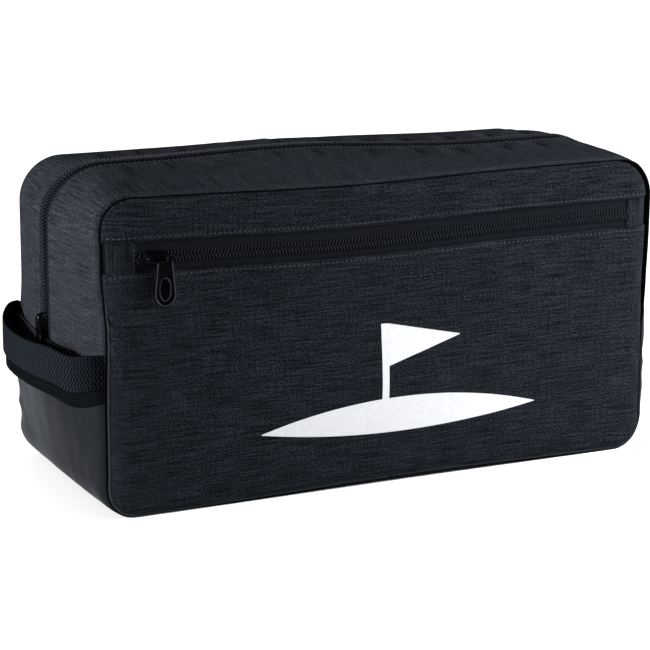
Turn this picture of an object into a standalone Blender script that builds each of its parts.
"""Golf shoe bag: a soft box with a zipped mouth over the top, a zipped front pocket and a side handle.

The long side runs along X, the front faces -Y and the base rests on Z = 0, with the origin at the
middle of the base. The cloth that opens is split from the cloth that stays, at the ends of each flap.
"""

import math

import bmesh
import bpy
from mathutils import Matrix, Vector

# The shell, measured along its seams.
BAG_LENGTH = 0.365
BAG_HEIGHT = 0.190
BAG_DEPTH = 0.150
CORNER = 0.025
CLOTH = 0.0022
GAP = 0.0003

# How far the soft walls stand proud of the seams.
GUSSET_PUFF = 0.010
PUFF_POWER = 2.2
PUFF_START = 0.060
PANEL_LAP = 0.0005
PANEL_ROLL = 0.005
ROLL_WIDTH = 0.012
PANEL_DOME = 0.0035
DOME_TOP = 0.120
DOME_HALF_LENGTH = 0.165

# The seam where the coated base meets the upper cloth.
BASE_TOP = 0.095
COATING = 0.002

# Both zips share one chain.
WINDOW = 0.0187
COIL_WIDTH = 0.0034
COIL_HEIGHT = 0.0019
COIL_DROP = 0.0003
COIL_BEVEL = 0.0006
TAPE_HALF_WIDTH = 0.017
TAPE = 0.0008
CHAIN_SPLIT = 0.0002
TAPE_SPLIT = 0.0003

# The mouth: two flaps hinged at the top seams.
FLAP_HALF_LENGTH = 0.150

# The front pocket's zip.
WINDOW_LEFT = -0.1617
WINDOW_RIGHT = 0.1664
WINDOW_LOW = 0.1468
COIL_LINE = 0.1549
TAPE_REACH = 0.167
LINING_FRONT = 0.0702
LINING = 0.0015

# A slider and its pull.
SLIDER_LENGTH = 0.0148
SLIDER_WIDTH = 0.0092
SLIDER_PLATE = 0.0022
SLIDER_WALL = 0.0007
CROWN_FOOT = 0.0054
CROWN_RISE = 0.0041
CROWN_THICKNESS = 0.0014
CROWN_WIDTH = 0.0032
CROWN_ROOT = 0.0008
CROWN_STEPS = 12
PULL_THICKNESS = 0.0016
PULL_HEAD = 0.0050
PULL_TAIL = 0.0070
PULL_LENGTH = 0.0290
PULL_RIM = 0.0018
PULL_HOLE = 0.0100
PULL_CORNER = 0.0030
HOLE_CORNER = 0.0012
POCKET_PULL_HANG = 0.0026
PULL_LAYER = 0.0017
BAR_DROP = 0.0018

MAIN_SLIDER_HEIGHT = 0.103
POCKET_SLIDER_X = -0.1525

# The handle across the left end.
HANDLE_LOW = 0.0707
HANDLE_HIGH = 0.1015
WEBBING_LOW = 0.0816
HANDLE_REACH = 0.030
HANDLE_POWER = 2.5
HANDLE_HALF_SPAN = 0.072
HANDLE_BAND = 0.003
HANDLE_FIXED = 0.80
HANDLE_ENDS = 0.915
HANDLE_STEPS = 24
WEBBING = 0.0014

# The seam bindings and the board inside.
BINDING_WIDTH = 0.008
BINDING = 0.003
BINDING_DROP = 0.0032
BOARD = 0.003
BOARD_LENGTH = 0.300
BOARD_WIDTH = 0.118
BOARD_LIFT = 0.0024
BOARD_CORNER = 0.012

# The printed emblem on the front.
PRINT = 0.0004
EMBLEM_X = 0.006
EMBLEM_GROUND = 0.042
EMBLEM_HALF_LENGTH = 0.094
EMBLEM_TOP = 0.102
EMBLEM_MARGIN = 0.004
EMBLEM_STEPS = 24
MOUND_RISE = 0.014
MOUND_DROP = 0.009
PIN_X = EMBLEM_X - 0.012
PIN_HALF_WIDTH = 0.0022
FLAG_HEIGHT = 0.026
FLAG_LENGTH = 0.052
FLAG_TIP_RISE = 0.002

RUN = BAG_LENGTH / 2 - CORNER
WALL = BAG_HEIGHT - 2 * CORNER
ARC = CORNER * math.pi / 2
HALF_LOOP = 2 * RUN + WALL + 2 * ARC
EDGE = BAG_DEPTH / 2 - 0.0025
ZIP_EDGE = WINDOW / 2


def smooth(x):
    """Rises from 0 to 1 with level ends."""
    x = min(max(x, 0.0), 1.0)
    return x * x * (3 - 2 * x)


def material(name, colour, roughness, metallic=0.0):
    made = bpy.data.materials.new(name)
    made.use_nodes = True
    shader = made.node_tree.nodes["Principled BSDF"]
    shader.inputs["Base Color"].default_value = (*colour, 1)
    shader.inputs["Roughness"].default_value = roughness
    shader.inputs["Metallic"].default_value = metallic
    made.diffuse_color = (*colour, 1)
    return made


def place(name, mesh, finish, origin=(0, 0, 0), smooth_angle=40):
    """An object whose mesh is given in world space and whose origin is set at origin."""
    mesh.transform(Matrix.Translation(-Vector(origin)))
    mesh.materials.append(finish)
    mesh.shade_smooth()
    mesh.set_sharp_from_angle(angle=math.radians(smooth_angle))
    made = bpy.data.objects.new(name, mesh)
    made.location = origin
    bpy.context.collection.objects.link(made)
    return made


def sheet(name, rows, closed=False, flip=False):
    """A mesh of quads through rows of points."""
    mesh = bpy.data.meshes.new(name)
    bm = bmesh.new()
    grid = [[bm.verts.new(p) for p in row] for row in rows]
    last = len(grid) if closed else len(grid) - 1
    for i in range(last):
        low, high = grid[i], grid[(i + 1) % len(grid)]
        for j in range(len(low) - 1):
            corners = [low[j], high[j], high[j + 1], low[j + 1]]
            bm.faces.new(corners[::-1] if flip else corners)
    bm.to_mesh(mesh)
    bm.free()
    return mesh


def thicken(made, thickness):
    """Grows a sheet inwards into a closed cloth."""
    solidify = made.modifiers.new("thickness", "SOLIDIFY")
    solidify.thickness = thickness
    solidify.offset = -1
    return made


def prism(outline_points, depth, matrix, name="guide"):
    """A flat outline in local XY, extruded to both sides by depth / 2 and moved by matrix."""
    mesh = bpy.data.meshes.new(name)
    bm = bmesh.new()
    face = bm.faces.new([bm.verts.new((x, y, -depth / 2)) for x, y in outline_points])
    grown = bmesh.ops.extrude_face_region(bm, geom=[face])["geom"]
    tops = [v for v in grown if isinstance(v, bmesh.types.BMVert)]
    bmesh.ops.translate(bm, verts=tops, vec=(0, 0, depth))
    bmesh.ops.recalc_face_normals(bm, faces=bm.faces)
    bmesh.ops.transform(bm, matrix=matrix, verts=bm.verts)
    bmesh.ops.triangulate(bm, faces=[f for f in bm.faces if len(f.verts) > 4])
    bm.to_mesh(mesh)
    bm.free()
    return mesh


def guide(name, mesh):
    """A hidden shape that a Boolean uses."""
    made = bpy.data.objects.new(name, mesh)
    made.hide_render = True
    made.display_type = "WIRE"
    bpy.context.collection.objects.link(made)
    return made


def combine(made, other, operation):
    cut = made.modifiers.new(operation.lower(), "BOOLEAN")
    cut.operation = operation
    cut.object = other
    return made


def arc_points(centre, radius, start, end, steps):
    """Points on an arc, angles in degrees."""
    turns = [math.radians(start + (end - start) * k / steps) for k in range(steps + 1)]
    return [(centre[0] + radius * math.cos(a), centre[1] + radius * math.sin(a)) for a in turns]


# The seam outline and the gusset that runs round it.


def outline(distance):
    """(x, z, normal x, normal z) at a distance along the seam, clockwise from the top's middle."""
    if distance > HALF_LOOP:
        distance -= 2 * HALF_LOOP
    side = 1 if distance >= 0 else -1
    d = abs(distance)
    if d <= RUN:
        return side * d, BAG_HEIGHT, 0.0, 1.0
    if d <= RUN + ARC:
        angle = math.pi / 2 - (d - RUN) / CORNER
        middle = BAG_HEIGHT - CORNER
    elif d <= RUN + ARC + WALL:
        return side * BAG_LENGTH / 2, BAG_HEIGHT - CORNER - (d - RUN - ARC), float(side), 0.0
    elif d <= RUN + 2 * ARC + WALL:
        angle = -(d - RUN - ARC - WALL) / CORNER
        middle = CORNER
    else:
        return side * (HALF_LOOP - d), 0.0, 0.0, -1.0
    x = RUN + CORNER * math.cos(angle)
    return side * x, middle + CORNER * math.sin(angle), side * math.cos(angle), math.sin(angle)


def gusset_point(distance, y, lift=0.0):
    """A point on the gusset, lift outside its surface."""
    x, z, nx, nz = outline(distance)
    share = min(abs(y) / (BAG_DEPTH / 2), 1.0)
    out = GUSSET_PUFF * smooth(z / PUFF_START) * (1 - share**PUFF_POWER) + lift
    return Vector((x + nx * out, y, z + nz * out))


def side_distance(z):
    """The distance along the seam, on the right-hand end, of a height between the corners."""
    return RUN + ARC + (BAG_HEIGHT - CORNER - z)


def samples(start, end, straight=0.030, turn=15):
    """Distances from start to end, close together where the outline turns."""
    bends = []
    for base in (-2 * HALF_LOOP, 0.0, 2 * HALF_LOOP):
        for a in (RUN, RUN + ARC + WALL):
            bends += [(base + a, base + a + ARC), (base - a - ARC, base - a)]
    marks = {start, end}
    marks.update(m for bend in bends for m in bend if start < m < end)
    marks = sorted(marks)
    found = [start]
    for low, high in zip(marks, marks[1:]):
        middle = (low + high) / 2
        turning = any(a < middle < b for a, b in bends)
        step = CORNER * math.radians(turn) if turning else straight
        count = max(1, math.ceil((high - low) / step - 1e-6))
        found += [low + (high - low) * (k + 1) / count for k in range(count)]
    return found


def gusset_strip(name, start, end, depths, lift, thickness, finish, origin=(0, 0, 0), closed=False):
    """A strip of the loop between two distances, its edges at the first and last depth."""
    steps = samples(start, end)
    if closed:
        steps = steps[:-1]
    rows = [[gusset_point(d, y, lift) for y in depths] for d in steps]
    return thicken(place(name, sheet(name, rows, closed), finish, origin), thickness)


# The front and back panels.


def half_width(z):
    """Half the seam outline's width at a height."""
    rise = min(z, BAG_HEIGHT - z)
    if rise >= CORNER:
        return BAG_LENGTH / 2
    return RUN + math.sqrt(max(CORNER**2 - (CORNER - rise) ** 2, 0.0))


def inset(x, z):
    """How far inside the seam outline a point lies."""
    qx = abs(x) - RUN
    qz = abs(z - BAG_HEIGHT / 2) - WALL / 2
    outside = math.hypot(max(qx, 0.0), max(qz, 0.0))
    return CORNER - outside - min(max(qx, qz), 0.0)


def panel_out(x, z):
    """How far a panel's outer face stands from the bag's middle plane."""
    dome = math.cos(min(abs(x) / DOME_HALF_LENGTH, 1.0) * math.pi / 2)
    share = min(max(z / DOME_TOP, 0.0), 1.0)
    dome *= math.sin(share * math.pi) ** 2
    roll = smooth(inset(x, z) / ROLL_WIDTH)
    return BAG_DEPTH / 2 + PANEL_LAP + PANEL_ROLL * roll + PANEL_DOME * dome


def panel(name, side, heights, left, right, finish, lift=0.0, thickness=CLOTH):
    """A piece of a panel between two ends, each a function of height. side is -1 at the front."""
    edge = [ROLL_WIDTH * k / 4 for k in range(5)]
    columns = [(s, 0) for s in edge] + [(ROLL_WIDTH, k / 12) for k in range(1, 12)]
    columns += [(ROLL_WIDTH + s, 1) for s in edge]
    rows = []
    for step, share in columns:
        row = []
        for z in heights:
            low, high = left(z), right(z)
            x = low + step + (high - low - 2 * ROLL_WIDTH) * share
            row.append((x, side * (panel_out(x, z) + lift), z))
        rows.append(row)
    made = place(name, sheet(name, rows, flip=side > 0), finish)
    return thicken(made, thickness)


def left_seam(z):
    return -half_width(z)


def right_seam(z):
    return half_width(z)


def build_panels(cloth, lining):
    low = [0, 0.003, 0.006, 0.009, 0.012, 0.022, 0.034, 0.048, 0.064, 0.080, 0.096, 0.110, 0.122]
    top = [BAG_HEIGHT - z for z in (0.020, 0.012, 0.009, 0.006, 0.003, 0)]
    window_high = WINDOW_LOW + WINDOW
    panel("front_panel_lower", -1, low + [WINDOW_LOW], left_seam, right_seam, cloth)
    panel("front_panel_upper", -1, [window_high] + top, left_seam, right_seam, cloth)
    panel("back_panel", 1, low + [WINDOW_LOW] + top, left_seam, right_seam, cloth)
    ends = [WINDOW_LOW + GAP, window_high - GAP]
    for name, a, b in (
        ("pocket_zip_tab_left", -BAG_LENGTH / 2, WINDOW_LEFT),
        ("pocket_zip_tab_right", WINDOW_RIGHT, BAG_LENGTH / 2),
    ):
        rows = []
        for k in range(7):
            x = a + (b - a) * k / 6
            rows.append([(x, -panel_out(x, z), z) for z in ends])
        thicken(place(name, sheet(name, rows), cloth), CLOTH)
    inner = CLOTH + 2 * GAP
    points = []
    for cx, cz, start in (
        (RUN, BAG_HEIGHT - CORNER, 90),
        (RUN, CORNER, 0),
        (-RUN, CORNER, -90),
        (-RUN, BAG_HEIGHT - CORNER, -180),
    ):
        points += arc_points((cx, cz), CORNER - inner, start, start - 90, 6)
    stand = Matrix.Translation((0, -LINING_FRONT + LINING / 2, 0)) @ Matrix.Rotation(math.pi / 2, 4, "X")
    place("pocket_lining", prism(points, LINING, stand), lining)


def build_base(coated, board):
    right = side_distance(BASE_TOP - GAP)
    depths = [-EDGE, -0.066, -0.056, -0.040, -0.020, 0, 0.020, 0.040, 0.056, 0.066, EDGE]
    gusset_strip("base_gusset", right, 2 * HALF_LOOP - right, depths, 0, COATING, coated)
    mesh = bpy.data.meshes.new("base_board")
    bm = bmesh.new()
    bmesh.ops.create_cube(bm, size=1)
    bmesh.ops.scale(bm, verts=bm.verts, vec=(BOARD_LENGTH, BOARD_WIDTH, BOARD))
    corners = [e for e in bm.edges if abs(e.verts[0].co.z - e.verts[1].co.z) > BOARD / 2]
    bmesh.ops.bevel(bm, geom=corners, offset=BOARD_CORNER, segments=4, affect="EDGES")
    bmesh.ops.translate(bm, verts=bm.verts, vec=(0, 0, BOARD_LIFT + BOARD / 2))
    bm.to_mesh(mesh)
    bm.free()
    place("base_board", mesh, board)


def build_bindings(tape):
    inner = LINING_FRONT - LINING - 2 * GAP
    for name, side in (("front_seam_binding", -1), ("back_seam_binding", 1)):
        depths = sorted((side * inner, side * (inner - BINDING_WIDTH)))
        gusset_strip(name, -HALF_LOOP, HALF_LOOP, depths, -BINDING_DROP, BINDING, tape, closed=True)


def build_mouth(cloth, tape, coil):
    """The upper gusset: a front and a back strip, each in three lengths, with half the zip on each."""
    end = side_distance(BASE_TOP)
    tape_end = side_distance(BASE_TOP - 0.008)
    coil_end = side_distance(BASE_TOP + GAP)
    tape_lift = -CLOTH - GAP
    for word, side in (("front", -1), ("back", 1)):
        hinge = (0, side * (EDGE + GAP), BAG_HEIGHT)
        strip_depths = [EDGE, 0.066, 0.056, 0.040, 0.022, ZIP_EDGE]
        tape_depths = [TAPE_HALF_WIDTH, TAPE_SPLIT]
        coil_depths = [CHAIN_SPLIT + COIL_WIDTH, CHAIN_SPLIT]
        cut = FLAP_HALF_LENGTH
        for place_word, sign, origin in (("left", -1, (0, 0, 0)), ("flap", 0, hinge), ("right", 1, (0, 0, 0))):
            for what, reach, depths, lift, thickness, finish in (
                ("gusset", end, strip_depths, 0.0, CLOTH, cloth),
                ("main_zip_tape", tape_end, tape_depths, tape_lift, TAPE, tape),
                ("main_zip_coil", coil_end, coil_depths, -COIL_DROP, COIL_HEIGHT, coil),
            ):
                start, stop = (-cut, cut) if sign == 0 else sorted((sign * (cut + GAP), sign * reach))
                ordered = sorted(side * y for y in depths)
                name = f"{what}_{word}_{place_word}"
                gusset_strip(name, start, stop, ordered, lift, thickness, finish, origin)


def bar(name, low, high, finish, bevel):
    """A box between two corners with softened edges."""
    mesh = bpy.data.meshes.new(name)
    bm = bmesh.new()
    bmesh.ops.create_cube(bm, size=1)
    size = Vector(high) - Vector(low)
    bmesh.ops.scale(bm, verts=bm.verts, vec=size)
    bmesh.ops.translate(bm, verts=bm.verts, vec=(Vector(high) + Vector(low)) / 2)
    if bevel:
        bmesh.ops.bevel(bm, geom=bm.edges[:], offset=bevel, segments=2, affect="EDGES")
    bm.to_mesh(mesh)
    bm.free()
    return place(name, mesh, finish)


def build_pocket_zip(tape, coil):
    face = BAG_DEPTH / 2 + PANEL_LAP + PANEL_ROLL
    tape_out = face - CLOTH - GAP
    coil_in = tape_out + GAP
    for word, side in (("upper", 1), ("lower", -1)):
        near, far = side * TAPE_SPLIT, side * TAPE_HALF_WIDTH
        low, high = sorted((COIL_LINE + near, COIL_LINE + far))
        corner = (-TAPE_REACH, -tape_out, low), (TAPE_REACH, -tape_out + TAPE, high)
        bar(f"pocket_zip_tape_{word}", *corner, tape, 0)
        near, far = side * CHAIN_SPLIT, side * (CHAIN_SPLIT + COIL_WIDTH)
        low, high = sorted((COIL_LINE + near, COIL_LINE + far))
        left = (WINDOW_LEFT + GAP, -coil_in - COIL_HEIGHT, low)
        right = (WINDOW_RIGHT - GAP, -coil_in, high)
        bar(f"pocket_zip_coil_{word}", left, right, coil, COIL_BEVEL)


# Sliders and pulls, in a frame with X along the chain, Y across it and Z out of the bag.


def build_slider(name, frame, metal):
    """A slider whose side flanges straddle the chain, with a crown over its plate."""
    half = SLIDER_WIDTH / 2
    wall = SLIDER_WALL
    drop = -COIL_HEIGHT - GAP
    side = [(half, drop), (half, SLIDER_PLATE - wall), (half - wall, SLIDER_PLATE)]
    channel = [(half - wall, 0), (half - wall, drop)]
    section = side + [(-y, z) for y, z in reversed(side)]
    section += [(-y, z) for y, z in reversed(channel)] + channel
    across = Matrix(((0, 0, 1, 0), (1, 0, 0, 0), (0, 1, 0, 0), (0, 0, 0, 1)))
    body = place(name, prism(section, SLIDER_LENGTH, across, name), metal)
    outer = []
    inner = []
    for k in range(CROWN_STEPS + 1):
        a = math.pi * k / CROWN_STEPS
        for shift, points in ((CROWN_THICKNESS / 2, outer), (-CROWN_THICKNESS / 2, inner)):
            x = (CROWN_FOOT + shift) * math.cos(a)
            points.append((x, (CROWN_RISE + shift) * math.sin(a)))
    root = -CROWN_ROOT
    arch = [(outer[0][0], root)] + outer + [(outer[-1][0], root), (inner[-1][0], root)]
    arch += inner[::-1] + [(inner[0][0], root)]
    upright = Matrix.Translation((0, 0, SLIDER_PLATE)) @ Matrix.Rotation(math.pi / 2, 4, "X")
    crown = guide(f"{name}_crown", prism(arch, CROWN_WIDTH, upright))
    combine(body, crown, "UNION")
    body.matrix_world = frame
    crown.matrix_world = frame
    return body


def build_pull(name, frame, metal, hang):
    """A pull that hangs along -Y. hang is how far the hole's upper end lies above the pivot."""
    top = hang + PULL_RIM
    tail = top - PULL_LENGTH + PULL_TAIL
    head = arc_points((PULL_HEAD - PULL_CORNER, top - PULL_CORNER), PULL_CORNER, 0, 90, 4)
    head += [(-x, y) for x, y in reversed(head)]
    outer = head + arc_points((0, tail), PULL_TAIL, 180, 360, 16)
    plate = place(name, prism(outer, PULL_THICKNESS, Matrix(), name), metal)
    half = PULL_HEAD - PULL_RIM
    upper = arc_points((half - HOLE_CORNER, hang - HOLE_CORNER), HOLE_CORNER, 0, 90, 4)
    upper += [(-x, y) for x, y in reversed(upper)]
    lower = arc_points((0, hang - PULL_HOLE + half), half, 180, 360, 10)
    slot = guide(f"{name}_slot", prism(upper + lower, 3 * PULL_THICKNESS, Matrix()))
    combine(plate, slot, "DIFFERENCE")
    plate.matrix_world = frame
    slot.matrix_world = frame
    return plate


def frame_of(along, across, out, at):
    """A local frame from its three directions and its origin."""
    columns = Matrix((along, across, out)).transposed()
    return Matrix.Translation(at) @ columns.to_4x4()


def build_sliders(metal):
    chain = COIL_HEIGHT + GAP
    pocket_face = BAG_DEPTH / 2 + PANEL_LAP + PANEL_ROLL - CLOTH + chain
    at = Vector((POCKET_SLIDER_X, -pocket_face, COIL_LINE))
    build_slider("pocket_zip_slider", frame_of((1, 0, 0), (0, 0, 1), (0, -1, 0), at), metal)
    foot = at + Vector((CROWN_FOOT - GAP, -SLIDER_PLATE - PULL_LAYER, 0))
    hanging = frame_of((1, 0, 0), (0, 0, 1), (0, -1, 0), foot)
    build_pull("pocket_zip_pull", hanging, metal, POCKET_PULL_HANG)
    end_face = BAG_LENGTH / 2 + GUSSET_PUFF - COIL_DROP + GAP
    at = Vector((-end_face, 0, MAIN_SLIDER_HEIGHT))
    build_slider("main_zip_slider", frame_of((0, 0, 1), (0, 1, 0), (-1, 0, 0), at), metal)
    bar_at = at + Vector((-SLIDER_PLATE - PULL_LAYER, 0, -BAR_DROP))
    hanging = frame_of((0, -1, 0), (0, 0, 1), (-1, 0, 0), bar_at)
    build_pull("main_zip_pull", hanging, metal, -PULL_RIM / 2)


# The handle.


def handle_rows(low, high, start, end, lift):
    rows = []
    for k in range(HANDLE_STEPS + 1):
        t = start + (end - start) * k / HANDLE_STEPS
        x = -BAG_LENGTH / 2 - HANDLE_REACH * (1 - abs(t) ** HANDLE_POWER) - lift
        y = t * HANDLE_HALF_SPAN
        rows.append([(x, y, low), (x, y, high)])
    return rows


def handle_piece(name, low, high, start, end, lift, thickness, finish, origin=(0, 0, 0)):
    """A band of constant thickness along X, so that its end faces stay square to Y."""
    mesh = sheet(name, handle_rows(low, high, start, end, lift), flip=True)
    bm = bmesh.new()
    bm.from_mesh(mesh)
    grown = bmesh.ops.extrude_face_region(bm, geom=bm.faces[:])["geom"]
    inner = [v for v in grown if isinstance(v, bmesh.types.BMVert)]
    bmesh.ops.translate(bm, verts=inner, vec=(thickness, 0, 0))
    bmesh.ops.recalc_face_normals(bm, faces=bm.faces)
    bm.to_mesh(mesh)
    bm.free()
    return place(name, mesh, finish, origin)


def build_handle(cloth, webbing):
    pivot = (-BAG_LENGTH / 2, 0, (HANDLE_LOW + HANDLE_HIGH) / 2)
    fixed = HANDLE_FIXED
    seam = GAP / HANDLE_HALF_SPAN
    band = (HANDLE_LOW, HANDLE_HIGH - GAP)
    handle_piece("handle_band", *band, -fixed, fixed, 0.0, HANDLE_BAND, cloth, pivot)
    outer = GAP + WEBBING
    strap = (WEBBING_LOW, HANDLE_HIGH)
    handle_piece("handle_webbing", *strap, -fixed, fixed, outer, WEBBING, webbing, pivot)
    for name, side in (("handle_end_front", -1), ("handle_end_back", 1)):
        start, end = sorted((side * (fixed + seam), side * HANDLE_ENDS))
        handle_piece(name, *band, start, end, 0.0, HANDLE_BAND, cloth)


# The emblem: a flag on its pin, standing in a hole on a mound.


def build_emblem(white):
    """The mound, pin and pennant are cut from a thin sheet of ink that follows the panel."""

    def left_edge(z):
        return EMBLEM_X - EMBLEM_HALF_LENGTH - EMBLEM_MARGIN

    def right_edge(z):
        return EMBLEM_X + EMBLEM_HALF_LENGTH + EMBLEM_MARGIN

    low = EMBLEM_GROUND - 2 * MOUND_DROP
    rise = (EMBLEM_TOP + EMBLEM_MARGIN - low) / 12
    heights = [low + rise * k for k in range(13)]
    ink = panel("front_print", -1, heights, left_edge, right_edge, white, GAP + PRINT, PRINT)
    shares = [-1 + 2 * k / EMBLEM_STEPS for k in range(EMBLEM_STEPS + 1)]
    crest = [(EMBLEM_X + EMBLEM_HALF_LENGTH * s, EMBLEM_GROUND + MOUND_RISE * (1 - s * s)) for s in shares]
    under = [(EMBLEM_X + EMBLEM_HALF_LENGTH * s, EMBLEM_GROUND - MOUND_DROP * (1 - s * s)) for s in shares]
    ground = under + crest[-2:0:-1]
    left, right = PIN_X - PIN_HALF_WIDTH, PIN_X + PIN_HALF_WIDTH
    flag_low = EMBLEM_TOP - FLAG_HEIGHT
    tip = (PIN_X + FLAG_LENGTH, (flag_low + EMBLEM_TOP) / 2 + FLAG_TIP_RISE)
    pennant = [(left, EMBLEM_GROUND), (right, EMBLEM_GROUND), (right, flag_low), tip]
    pennant += [(right, EMBLEM_TOP), (left, EMBLEM_TOP)]
    upright = Matrix.Translation((0, -BAG_DEPTH / 2, 0)) @ Matrix.Rotation(math.pi / 2, 4, "X")
    shape = guide("front_print_mound", prism(ground, 0.04, upright))
    flagged = guide("front_print_flag", prism(pennant, 0.05, upright))
    combine(shape, flagged, "UNION")
    combine(ink, shape, "INTERSECT")


def main():
    for old in list(bpy.data.objects):
        bpy.data.objects.remove(old, do_unlink=True)
    cloth = material("navy_cloth", (0.020, 0.024, 0.038), 0.85)
    coated = material("coated_base", (0.045, 0.047, 0.052), 0.45)
    lining = material("lining_cloth", (0.030, 0.030, 0.032), 0.8)
    tape = material("zip_tape", (0.012, 0.012, 0.014), 0.85)
    coil = material("zip_coil", (0.010, 0.010, 0.011), 0.35)
    metal = material("black_metal", (0.020, 0.020, 0.022), 0.25, 1.0)
    webbing = material("handle_webbing", (0.030, 0.032, 0.040), 0.8)
    board = material("board", (0.05, 0.05, 0.05), 0.5)
    white = material("white_print", (0.80, 0.80, 0.80), 0.5)
    build_panels(cloth, lining)
    build_base(coated, board)
    build_bindings(tape)
    build_mouth(cloth, tape, coil)
    build_pocket_zip(tape, coil)
    build_sliders(metal)
    build_handle(cloth, webbing)
    build_emblem(white)


main()
